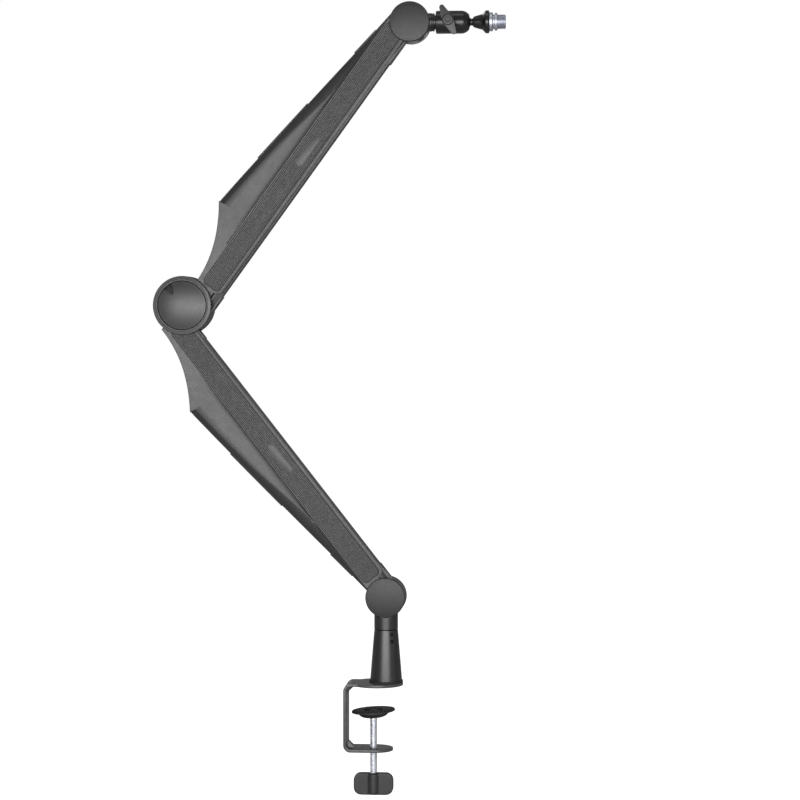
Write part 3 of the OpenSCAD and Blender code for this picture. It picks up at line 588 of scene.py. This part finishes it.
frontRibs, frontBed = ribbedPanel("ribbedPanel")
frontPlate = blankPlate("blankPlate")
# the bed's dark finish is painted shade in the grooves and in the gap round each plate
panelParts = (("Ribs", frontRibs, ribAbs, "_side_panels", "panel_plastic"),
              ("RibBed", frontBed, grooveShadeAbs, "_side_panels", "panel_plastic"),
              ("Plate", frontPlate, plateAbs, "_name_plates", "plate_plastic"))
for arm, matrix in arms.items():
    for face, flip in (("Front", 1), ("Back", -1)):
        place = matrix @ Matrix.Diagonal((1, 1, flip, 1))
        for kind, drawn, material, node, slot in panelParts:
            piece = placed(copied(drawn, arm + face + kind), place)
            fitted(piece, arm + "_arm", material, [arm + node])
for drawn in (frontRibs, frontBed, frontPlate):
    pick(drawn)
    bpy.ops.object.delete()
print("ribbed panels and plates made")


# joint caps: slightly crowned discs with a rolled edge

cap = {"radius": 21.9, "crown": 1.4, "edge": 0.9}


def crownedCap(name):
    r, edge, crown = cap["radius"], cap["edge"], cap["crown"]
    inner = [(r - edge) * (1 - i / 8) for i in range(1, 8)]
    outline = [(0, capBack), (r, capBack)]
    outline += arc(r - edge, frontZ - crown - edge, edge, 0, 90, 6)
    outline += [(x, frontZ - crown * (x / r) ** 2) for x in inner] + [(0, frontZ)]
    obj = turned(name, outline, 128)
    smooth(obj, 40)
    return obj


piece = placed(crownedCap("baseFrontCover"), standing(baseMiddle))
fitted(piece, "base_swivel", capAbs, ["base_front_cap"])
piece = placed(crownedCap("headFrontCover"), standing(headMiddle))
fitted(piece, "head", capAbs, ["head_front_cap"])
print("joint caps made")


# elbow: bezel with a knurled grip ring, and the domed tension knob with its finger notch

bezel = {"radius": 32.5, "inner": 27.2, "edge": 0.9, "slope": 0.5, "groove": 0.5,
         "knurls": 132, "knurlFrom": 27.5, "knurlTo": 28.8, "knurlWidth": 0.72, "knurlTop": 0.12,
         "knurlRound": 0.3}
dome = {"radius": 26.8, "crown": 3.5, "sunk": 0.8, "rim": 0.6, "steps": 14,
        "notchAngle": 128, "notchFrom": 14.8, "notchTo": 28.8,  # radii, tip and far end
        "notchWidth": 29.75, "notchFloor": 4.6,                 # widths of top and floor there
        "notchRise": 4, "notchDepth": 3.5}


def elbowBezel():
    r, edge, groove = bezel["radius"], bezel["edge"], frontZ - bezel["groove"]
    outline = [(bezel["inner"], capBack), (r, capBack)]
    outline += arc(r - edge, frontZ - bezel["slope"] - edge, edge, 0, 90, 7)
    outline += [(bezel["knurlTo"] + 0.3, frontZ - 0.05), (bezel["knurlTo"], groove),
                (bezel["knurlFrom"], groove), (bezel["inner"], frontZ - 0.2),
                (bezel["inner"], capBack)]
    obj = turned("elbowBezelRing", outline, 144)
    smooth(obj, 40)
    wide = bezel["knurlWidth"] / 2
    tooth = block("tooth", (bezel["knurlFrom"] - 0.1, -wide, frontZ - 0.9),
                  (bezel["knurlTo"] + 0.1, wide, frontZ - bezel["knurlTop"]))
    bevelled(tooth, bezel["knurlRound"], 2,
             lambda a, b: min(a.z, b.z) > groove and abs(a.x - b.x) > 1)
    teeth = []
    for i in range(bezel["knurls"]):
        twin = copied(tooth, "tooth")
        twin.data.transform(Matrix.Rotation(2 * math.pi * i / bezel["knurls"], 4, "Z"))
        teeth.append(twin)
    pick(tooth)
    bpy.ops.object.delete()
    return joined([obj] + teeth)


def domedKnob():
    r, rim, low = dome["radius"], dome["rim"], frontZ - dome["sunk"]
    outline = [(0, capBack + 0.4), (r, capBack + 0.4)] + arc(r - rim, low - rim, rim, 0, 90, 5)
    shares = [1 - (i + 1) / dome["steps"] for i in range(dome["steps"])]
    outline += [((r - rim) * share, low + dome["crown"] * (1 - share ** 2)) for share in shares]
    obj = turned("tensionDome", outline, 144)
    deselect()
    bpy.ops.mesh.primitive_cone_add(vertices=3, radius1=0.01, radius2=0.01, depth=0.01)
    notch = bpy.context.object  # a three-sided wedge, its tip towards the knob's middle
    for vert in notch.data.vertices:
        onTop = vert.co.z > 0
        sign = 0 if abs(vert.co.x) < milli else math.copysign(0.5, vert.co.x)
        if sign == 0 and onTop:
            vert.co = mm(dome["notchFrom"] - 0.4, 0, low + dome["notchRise"])
        elif sign == 0:
            vert.co = mm(dome["notchFrom"] + 1.6, 0, low + 0.6)
        elif onTop:
            vert.co = mm(dome["notchTo"], sign * dome["notchWidth"], low + dome["notchRise"])
        else:
            vert.co = mm(dome["notchTo"], sign * dome["notchFloor"], low - dome["notchDepth"])
    edit(notch)
    bpy.ops.mesh.quads_convert_to_tris()
    bpy.ops.mesh.normals_make_consistent(inside=False)
    leave()
    notch.data.transform(Matrix.Rotation(math.radians(dome["notchAngle"]), 4, "Z"))
    cut(obj, notch)
    smooth(obj, 30)
    return obj


piece = placed(elbowBezel(), standing(elbowMiddle))
fitted(piece, "elbow", knobAbs, ["elbow_bezel"])
piece = placed(domedKnob(), standing(elbowMiddle))
fitted(piece, "tension_knob", knobAbs, ["tension_knob"])
print("elbow made")


# swivel collar and desk socket: turned aluminium with a fine seam between them

socket = {"top": 61.8, "topRadius": 13.15, "foot": 3, "footRadius": 17.7, "lip": 2.6,
          "seam": 0.45, "bore": 8.3, "taper": 0.65,
          "screwDrops": (4.6, 12.3), "screwRadius": 2.1, "screwTurn": 32, "screwAt": 13.5,
          "flat": 11.7, "flatFrom": 75.8, "collarBore": 6}


def deskSocket():
    bore, foot, top = socket["bore"], socket["foot"], socket["top"]
    wide, slim, seam, taper = (socket[k] for k in ("footRadius", "topRadius", "seam", "taper"))
    low = foot + socket["lip"]
    outline = [(bore, foot), (wide, foot), (wide, low),
               (slim + (1 - taper) * (wide - slim), low + taper * (top - low)),
               (slim, top - seam), (slim - seam, top), (bore, top), (bore, foot)]
    obj = turned("deskSocketCone", outline, 160)
    for drop in socket["screwDrops"]:
        deselect()
        bpy.ops.mesh.primitive_cylinder_add(vertices=24, radius=socket["screwRadius"] * milli,
                                            depth=8 * milli)
        hole = bpy.context.object
        hole.data.transform(Matrix.Rotation(math.radians(socket["screwTurn"]), 4, "Z")
                            @ Matrix.Translation(mm(0, -socket["screwAt"], top - drop))
                            @ Matrix.Rotation(math.pi / 2, 4, "X"))
        cut(obj, hole)
    smooth(obj, 30)
    return obj


def swivelCollar():
    bottom, top = (corner.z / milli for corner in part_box("base_collar"))
    r, seam, bore = socket["topRadius"], socket["seam"], socket["collarBore"]
    outline = [(bore, bottom), (r - seam, bottom), (r, bottom + seam), (r, top), (bore, top),
               (bore, bottom)]
    obj = turned("swivelCollar", outline, 160)
    for back, front in ((-30, -socket["flat"]), (socket["flat"], 30)):  # milled flats
        cut(obj, block("side", (-30, back, socket["flatFrom"]), (30, front, 110)))
    smooth(obj, 30)
    return obj


fitted(deskSocket(), "clamp", anodised, ["desk_socket"])
fitted(swivelCollar(), "base_swivel", anodised, ["base_collar"])
print("socket and collar made")


# clamp screw: a rolled thread from inside the knob to below the pad, and a flat-topped end

thread = {"radius": 4, "root": 3.35, "pitch": 1.25, "low": -121.9, "high": -38, "screwX": -14,
          "endRadius": 5.4, "endHeight": 1.8, "endChamfer": 0.6}


def threadSleeve(name, radius, root, pitch, length):  # one tooth wound up the length
    tooth = ((radius - root, 0.38), (0, 0.16), (root - radius, 0.38), (0, 0.08))  # shares of pitch
    deselect()
    bpy.ops.mesh.primitive_plane_add(size=milli)
    obj = bpy.context.object
    obj.name = name
    edit(obj)
    bpy.ops.mesh.merge(type="CENTER")
    bpy.ops.transform.translate(value=mm(root, 0, 0))
    for out, up in tooth:
        bpy.ops.mesh.extrude_verts_indiv()
        bpy.ops.transform.translate(value=mm(out, 0, pitch * up))
    leave()
    modify(obj, "SCREW", axis="Z", angle=2 * math.pi, screw_offset=pitch * milli,
           iterations=int(length / pitch), steps=32, render_steps=32, use_merge_vertices=True,
           merge_threshold=weld)
    edit(obj)
    bpy.ops.mesh.remove_doubles(threshold=2 * weld)
    bpy.ops.mesh.normals_make_consistent(inside=False)
    leave()
    smooth(obj, 30)
    return obj


def clampScrew():
    low, high, top = thread["low"], thread["high"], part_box("clamp_screw")[1].z / milli
    sleeve = threadSleeve("clampScrewThread", thread["radius"], thread["root"], thread["pitch"],
                          high - low)
    placed(sleeve, upright(thread["screwX"], low))
    core, radius, end = thread["root"] + 0.02, thread["radius"], thread["endRadius"]
    under = top - thread["endHeight"]
    outline = [(0, low - 0.4), (core, low - 0.4), (core, high - 0.8), (radius, high - 0.4),
               (radius, under), (end, under), (end, top - thread["endChamfer"]),
               (end - thread["endChamfer"], top), (0, top)]
    shank = placed(turned("shank", outline, 64), upright(thread["screwX"], 0))
    obj = joined([sleeve, shank])
    smooth(obj, 30)
    return obj


# clamp knob: two rounded wings blended into a round hub

knob = {"width": 44, "height": 24.5, "low": -122.5, "wing": 8, "corner": 8, "hub": 7,
        "chamfer": 1.4, "inset": 0.2, "voxel": 0.55}


def clampKnob():
    wide, thick, height = knob["width"] / 2, knob["wing"] / 2, knob["height"]
    hubRadius, chamfer, inset = knob["hub"], knob["chamfer"], knob["inset"]
    wings = block("clampKnobGrip", (-wide, -thick, 0), (wide, thick, height))
    bevelled(wings, knob["corner"], 10, lambda a, b: abs(a.y - b.y) > 1)
    hub = turned("hub", [(0, inset), (hubRadius - chamfer, inset), (hubRadius, inset + chamfer),
                         (hubRadius, height - inset - chamfer),
                         (hubRadius - chamfer, height - inset), (0, height - inset)], 64)
    cut(wings, hub, "UNION")
    modify(wings, "REMESH", mode="VOXEL", voxel_size=knob["voxel"] * milli)
    modify(wings, "CORRECTIVE_SMOOTH", factor=0.8, iterations=12, smooth_type="LENGTH_WEIGHTED",
           use_only_smooth=True)
    pick(wings)
    bpy.ops.object.shade_smooth()
    return placed(wings, upright(thread["screwX"], knob["low"]))


fitted(clampScrew(), "clamp_screw", zinc, ["clamp_screw"])
fitted(clampKnob(), "clamp_screw", knobNylon, ["clamp_knob"])
print("clamp screw and knob made")


# pressure pad: a pressed steel dish with a rolled rim, leaning on the ball end

pad = {"radius": 24, "dish": 16.8, "depth": 9, "rise": 5.6, "innerRise": 4.6, "wall": 1.6,
       "neck": 5.9, "bore": 4.6, "lean": 3.5, "pivot": -31.6, "top": -27.5,
       "facing": 1.4, "hole": 10.8, "ringPitch": 2.2, "ringDepth": 0.25}


def padPlace():
    pivot = Matrix.Translation((thread["screwX"], 0, pad["pivot"]))
    lean = Matrix.Rotation(math.radians(-pad["lean"]), 4, "Y")
    return pivot @ lean @ Matrix.Translation((0, 0, pad["top"] - pad["pivot"]))


def padDish():
    low, wall, bore, rim = -pad["depth"], pad["wall"], pad["bore"], pad["radius"]
    outside = arc(pad["neck"], low + pad["rise"], pad["dish"] - pad["neck"], -90, 0, 8, pad["rise"])
    inside = arc(pad["neck"] + wall / 2, low + wall + pad["innerRise"],
                 pad["dish"] - 1.8 - pad["neck"], 0, -90, 8, pad["innerRise"])
    outline = [(bore, low)] + outside
    outline += [(pad["dish"] + 1.4, -2.9), (rim - 1.2, -2.7), (rim, -2.2), (rim, -pad["facing"]),
                (pad["dish"] - 1, -pad["facing"])]
    outline += inside[1:] + [(bore, low + wall), (bore, low)]
    obj = turned("padDish", outline, 96)
    smooth(obj, 40)
    return obj


def padFacing():
    rim, hole, low = pad["radius"], pad["hole"], -pad["facing"]
    outline = [(hole, low), (rim, low), (rim, low / 2), (rim - 0.5, -0.15), (rim - 1.2, 0)]
    outline += [(rim - 3 - pad["ringPitch"] * i, -pad["ringDepth"] * (i % 2 == 0))
                for i in range(4)]
    outline += [(hole + 0.6, 0), (hole, -0.5), (hole, low)]
    obj = turned("padFacing", outline, 96)
    smooth(obj, 50)
    return obj


fitted(placed(padDish(), padPlace()), "clamp_pad", frameBlack, ["pad_plate"])
fitted(placed(padFacing(), padPlace()), "clamp_pad", rubber, ["pad_facing"])
print("pad made")


# ball head: barrel with a domed mouth, flared stem, and the wing screw

ballAt = jointAt["ball_tilt"]
ball = {"radius": 12.5, "length": 27.6, "mouth": 11.65, "mouthTurn": 50, "back": 29.8, "bore": 5,
        "play": 9.3, "playTurn": 37, "seat": 10.3, "seatTurn": 61,  # the hollow round the ball
        "ballRadius": 9, "ballTurn": 63, "stem": 3.85, "flange": 28.6, "threadRadius": 4.7}
barrelX = ballAt[0] - ball["back"]


def ballBarrel():
    r, bore, length, middle = ball["radius"], ball["bore"], ball["length"], ballAt[0] - barrelX
    outline = [(bore, 0), (r - 1.2, 0), (r - 0.35, 0.35), (r, 1.2)]
    outline += arc(0, length, r, 0, ball["mouthTurn"], 12, ball["mouth"])
    outline += [(7.85, middle + 6.75), (7.3, middle + 5.77)]
    outline += arc(0, middle, ball["play"], ball["playTurn"], 0, 8)
    outline += arc(0, middle, ball["seat"], 0, -ball["seatTurn"], 12)
    outline += [(bore, middle - 9.35), (bore, 0)]
    obj = turned("ballBarrelShell", outline, 128)
    smooth(obj, 35)
    return obj


def ballStem():
    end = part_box("ball_stem")[1].x / milli - ballAt[0]
    stem, flange, bolt = ball["stem"], ball["flange"], ball["threadRadius"]
    sphere = arc(0, 0, ball["ballRadius"], -90, ball["ballTurn"], 34)
    outline = [point for point in sphere if point[1] < 0 or point[0] > stem]
    outline += [(stem, 8.6), (stem, 10.3), (4.6, 10.9), (5.8, 11.6), (6.3, 13.2), (7.5, 17.1),
                (8.3, 20.4), (8.8, 21.4), (10.4, 22.9), (11.8, 24.1), (12.3, 24.6), (12.5, 25.2),
                (12.5, 27.9), (12, 28.4), (11.6, flange), (bolt, flange), (bolt, end), (0, end)]
    obj = turned("ballStemFlare", outline, 128)
    smooth(obj, 35)
    return obj


fitted(placed(ballBarrel(), alongX(barrelX, ballAt[2])), "head", lacquer, ["ball_barrel"])
fitted(placed(ballStem(), alongX(*ballAt.xz)), "ball_stem", lacquer, ["ball_stem"])

neck = {"radius": 10, "reach": 12.6, "waist": 7.8, "gap": 1.6, "groove": 0.5, "spigot": 5}


def neckCollar():
    r, reach, groove, spigot = neck["radius"], neck["reach"], neck["groove"], neck["spigot"]
    shoulder = reach + neck["gap"]
    outline = [(0, 0), (r, 0), (r, reach - 2.9), (r - groove, reach - 2.4),
               (r - groove, reach - 2), (r, reach - 1.5), (r, reach - 0.6), (r - 0.6, reach),
               (neck["waist"], reach), (neck["waist"], shoulder), (spigot, shoulder),
               (spigot, shoulder + 5), (0, shoulder + 5)]
    obj = turned("neckCollarTurned", outline, 128)
    smooth(obj, 35)
    return obj


fitted(placed(neckCollar(), alongX(barrelX - neck["reach"] - neck["gap"], ballAt[2])), "head",
       anodised, ["neck_collar"])

wing = {"turn": 26, "span": 35, "tip": 2.75, "hub": 6.5, "thick": 5, "low": 21.9, "round": 0.8,
        "neck": 5.2, "neckLength": 8, "shaft": 2.5, "shaftBelow": 1.6,
        "insert": 2.6, "insertThick": 1.2, "insertRound": 0.25}


def wingScrew():
    hubRadius, thick, tip = wing["hub"], wing["thick"], wing["tip"]
    reach = (wing["span"] / 2 - tip) * milli
    deselect()
    bpy.ops.mesh.primitive_cylinder_add(vertices=72, radius=milli, depth=(thick - 1.2) * milli,
                                        location=mm(0, 0, (thick - 1.2) / 2))
    plate = bpy.context.object
    plate.name = "wingScrewGrip"
    bpy.ops.object.transform_apply(location=True)
    for vert in plate.data.vertices:  # two round ends, each pulled out from the middle
        if abs(vert.co.x) < 0.22 * milli:
            vert.co.y = math.copysign(hubRadius * milli, vert.co.y)
        else:
            vert.co.x = vert.co.x * tip + math.copysign(reach, vert.co.x)
            vert.co.y *= tip
    hub = turned("hub", [(0, 0), (hubRadius - 1.5, 0), (hubRadius, 1), (hubRadius, thick - 1.3),
                         (hubRadius - 0.5, thick - 0.5), (hubRadius - 1.3, thick), (3.3, thick),
                         (3, thick - 0.7), (0, thick - 0.7)], 64)
    cut(plate, hub, "UNION")
    soften(plate, wing["round"], 3, 40)
    smooth(plate, 50)
    wide, slim, under = wing["neck"], wing["shaft"], -wing["neckLength"]
    foot = -wing["low"] - wing["shaftBelow"]
    shaft = turned("shaft", [(0, foot), (slim, foot), (slim, under), (wide - 0.5, under),
                             (wide, under + 0.5), (wide, 0.5), (0, 0.5)], 48)
    smooth(shaft, 35)
    obj = joined([plate, shaft])
    obj.data.transform(Matrix.Rotation(math.radians(90 + wing["turn"]), 4, "Z"))
    obj.data.transform(Matrix.Translation(mm(0, 0, wing["low"])))
    return obj


def wingInsert():  # a blank six-sided plug in the wing's middle
    deselect()
    bpy.ops.mesh.primitive_cylinder_add(vertices=6, radius=wing["insert"] * milli,
                                        depth=wing["insertThick"] * milli)
    obj = bpy.context.object
    obj.name = "wingScrewInsert"
    obj.data.transform(Matrix.Translation(mm(0, 0, wing["low"] + wing["thick"] - 0.5)))
    soften(obj, wing["insertRound"], 2, 35)
    return obj


wingPlace = standing(jointAt["wing_screw_turn"])
fitted(placed(wingScrew(), wingPlace), "wing_screw", wingLacquer, ["wing_screw"])
fitted(placed(wingInsert(), wingPlace), "wing_screw", wingLacquer, [])
print("ball head made")


# lock ring and microphone thread

ringX = jointAt["lock_ring_turn"][0]
mic = {"bore": 4.75, "ringRadius": 10.3, "ringLength": 4, "ringChamfer": 0.7, "gap": 0.3,
       "neckRadius": 7.9, "neckTo": 1.6, "flange": 9.6, "chamfer": 0.5,
       "threadFrom": 4.6, "threadLength": 9.1,  # 5/8 inch, 27 threads an inch
       "pitch": 0.9407, "root": 7.3, "outer": 7.9375, "mouth": 5.7, "mouthFrom": 8}


def lockRing():
    r, bore, length, chamfer = (mic[k] for k in ("ringRadius", "bore", "ringLength", "ringChamfer"))
    obj = turned("lockRingNut", [(bore, 0), (r - chamfer, 0), (r, 0.6), (r, length - 0.6),
                                 (r - chamfer, length), (bore, length), (bore, 0)], 96)
    smooth(obj, 30)
    return obj


def micThread():
    start, length = mic["threadFrom"], mic["threadLength"]
    sleeve = threadSleeve("micAdapterThread", mic["outer"], mic["root"], mic["pitch"], length - 0.3)
    sleeve.data.transform(Matrix.Translation(mm(0, 0, start - 0.2)))
    bore, slim, wide, chamfer = mic["bore"], mic["neckRadius"], mic["flange"], mic["chamfer"]
    core, mouth, low, end = mic["root"] + 0.02, mic["mouth"], mic["neckTo"], start + length
    outline = [(bore, 0), (slim, 0), (slim, low), (wide - chamfer, low), (wide, low + chamfer),
               (wide, start - chamfer), (wide - chamfer, start), (core, start),
               (core, end - chamfer), (mic["root"] - chamfer, end), (mouth, end),
               (mouth, mic["mouthFrom"]), (bore, mic["mouthFrom"]), (bore, 0)]
    obj = joined([sleeve, turned("body", outline, 96)])
    smooth(obj, 30)
    return obj


adapterX = ringX + mic["ringLength"] + mic["gap"]
fitted(placed(lockRing(), alongX(ringX, ballAt[2])), "lock_ring", threadZinc, ["lock_ring"])
fitted(placed(micThread(), alongX(adapterX, ballAt[2])), "ball_stem", threadZinc, ["mic_adapter"])
print("microphone thread made")


# the remaining solids: their CAD form is right, and the larger ones get broken edges

dressed = {  # material, slot and width of the broken edge
    "clamp_bracket": (clampCoat, "clamp_steel", 0.5),
    "base_frame": (frameBlack, "frame_metal", 0.3),
    "elbow_frame": (frameBlack, "frame_metal", 0.3),
    "head_frame": (frameBlack, "frame_metal", 0.3),
    "lower_beam": (powderCoat, "beam_metal", 0.35),
    "upper_beam": (powderCoat, "beam_metal", 0.35),
    "lower_link": (powderCoat, "link_metal", 0.3),
    "upper_link": (powderCoat, "link_metal", 0.3),
    # the base and elbow back covers carry painted shade in their colour
    "base_back_cap": (backCoverShadeAbs, "cap_plastic", 0.4),
    "elbow_back_cap": (backCoverShadeAbs, "cap_plastic", 0.4),
    "head_back_cap": (knobAbs, "cap_plastic", 0.4),
}
roll = {"radius": 1.6, "finSide": 11.8, "linkSide": -14}  # the beams' rolled outer edges


def outerEdge(a, b):  # the test for those edges, beside the fin and beside the link
    beside = min(a.y, b.y) > roll["finSide"] or max(a.y, b.y) < roll["linkSide"]
    outside = min(abs(a.z), abs(b.z)) > beamZ - 0.1 and a.z * b.z > 0
    return beside and outside and abs(a.x - b.x) > 40


def finishName(node):  # clamp_bracket becomes clampBracketFinish
    first, *others = node.split("_")
    return first + "".join(word.title() for word in others) + "Finish"


bodies = frame["record"]["behaviour"]["bodies"]
bodyOf = {name: body for body, names in bodies.items() for name in names}
for name, (material, slot, width) in dressed.items():
    twin = copied(nodes[name], finishName(name))
    for key in list(twin.keys()):
        del twin[key]
    twin.parent = None
    edit(twin)
    bpy.ops.mesh.remove_doubles(threshold=2 * weld)
    bpy.ops.mesh.dissolve_limited(angle_limit=math.radians(0.5))
    leave()
    if name.endswith("_beam"):
        matrix = arms[name.split("_")[0]]
        placed(twin, matrix.inverted())
        bevelled(twin, roll["radius"], 4, outerEdge)
        placed(twin, matrix)
    soften(twin, width, 2, 40)
    smooth(twin, 40)
    fitted(twin, bodyOf[name], material, [name])

plain = {
    zinc: ("socket_bolt", "pad_retainer", "swivel_spigot", "base_pins", "base_screws",
           "elbow_pins", "elbow_screws", "tension_bolt", "head_pins", "head_screws",
           "lower_spring_pins", "upper_spring_pins"),
    frameBlack: ("grub_screws", "lower_ridge_strips", "upper_ridge_strips"),
    springSteel: ("lower_springs", "upper_springs"),
    acetal: ("socket_bush", "ball_liner"),
    rubber: ("socket_lip",),
}
for material, names in plain.items():
    for name in names:
        nodes[name].data.materials.clear()
        nodes[name].data.materials.append(material)
print("remaining solids dressed")
